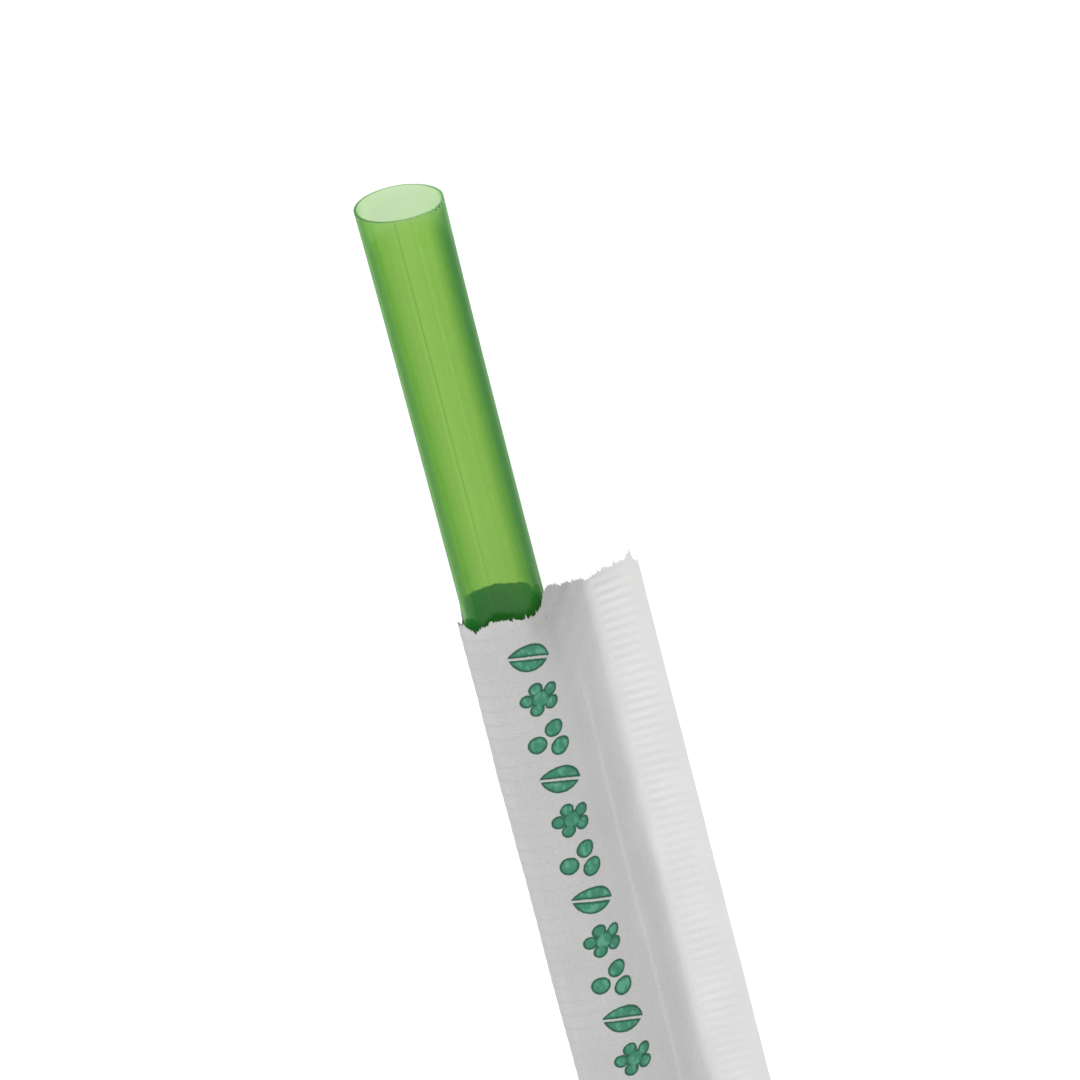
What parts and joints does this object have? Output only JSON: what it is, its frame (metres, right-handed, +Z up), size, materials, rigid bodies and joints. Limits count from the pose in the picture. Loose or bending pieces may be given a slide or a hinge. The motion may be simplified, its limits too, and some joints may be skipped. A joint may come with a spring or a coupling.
{
  "type": "wrapped drinking straw",
  "caption": "Straight clear green bioplastic drinking straw, drawn part way out of its torn white paper sleeve with a crimped edge.",
  "frame": {"origin": "middle of the whole outline, on the floor under the sleeve", "axes": "+Y along the straw towards its open end, +X towards the sleeve's crimped edge, +Z up"},
  "size_m": [0.017, 0.215, 0.0068],
  "materials": {
    "green_bioplastic": "clear green, smooth and glossy as extruded",
    "wrapper_paper": "thin white uncoated paper, crimped along one edge, with green printed shapes"
  },
  "bodies": {
    "sleeve": {"wrapper": "wrapper_paper"},
    "straw": {"straw": "green_bioplastic"}
  },
  "joints": [
    {"name": "straw_slide", "type": "slide", "parent": "sleeve", "child": "straw", "axis": [0, 1, 0], "range_m": [-0.002, 0.164]}
  ]
}
